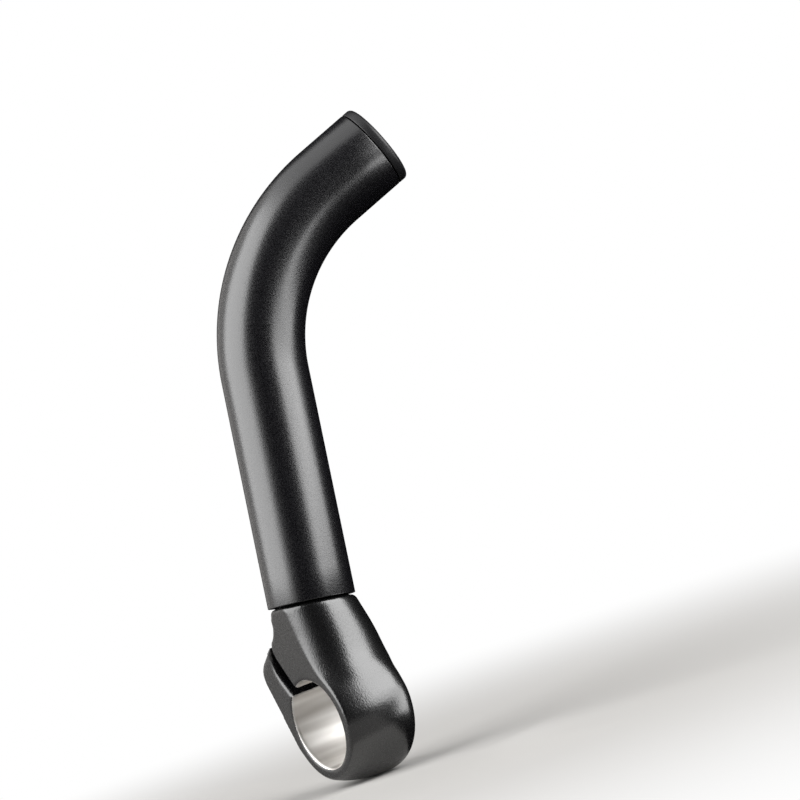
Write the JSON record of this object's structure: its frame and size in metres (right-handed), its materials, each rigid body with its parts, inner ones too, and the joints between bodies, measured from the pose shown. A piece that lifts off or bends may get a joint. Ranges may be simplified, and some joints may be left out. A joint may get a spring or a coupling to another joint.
{
  "type": "bicycle bar end",
  "caption": "Bent round grip tube on a forged clamp with a split handlebar bore, a clamp bolt at the back and a plastic plug in the tube's open end.",
  "frame": {"origin": "on the handlebar bore's axis, in the clamp ring's middle plane", "axes": "+X along the bore from the flat outer face to the rounded inner end, +Z from the bore towards the grip tube, -Y to the front, where the tip also leans"},
  "size_m": [0.0681, 0.0483, 0.158],
  "materials": {
    "clamp_paint": "satin black paint with a faint cast texture, bore left bare",
    "tube_finish": "fine blasted matt black",
    "plug_plastic": "moulded black plastic",
    "bolt_steel": "black oxide steel"
  },
  "bodies": {
    "clamp": {"clamp_body": "clamp_paint", "grip_tube": "tube_finish", "end_plug": "plug_plastic"},
    "washer": {"lock_washer": "bolt_steel"},
    "bolt": {"clamp_bolt": "bolt_steel"}
  },
  "joints": [
    {"name": "bolt_travel", "type": "slide", "parent": "clamp", "child": "washer", "axis": [0, 0.8526, -0.5225], "range_m": [0, 0.006]},
    {"name": "bolt_turn", "type": "hinge", "parent": "washer", "child": "bolt", "pos_m": [0, 0.01419, 0.01148], "axis": [0, 0.8526, -0.5225], "range_deg": [0, 2160]}
  ],
  "couplings": [
    {"joint": "bolt_turn", "follows": "bolt_travel", "rad_per_m": 6283.2}
  ]
}
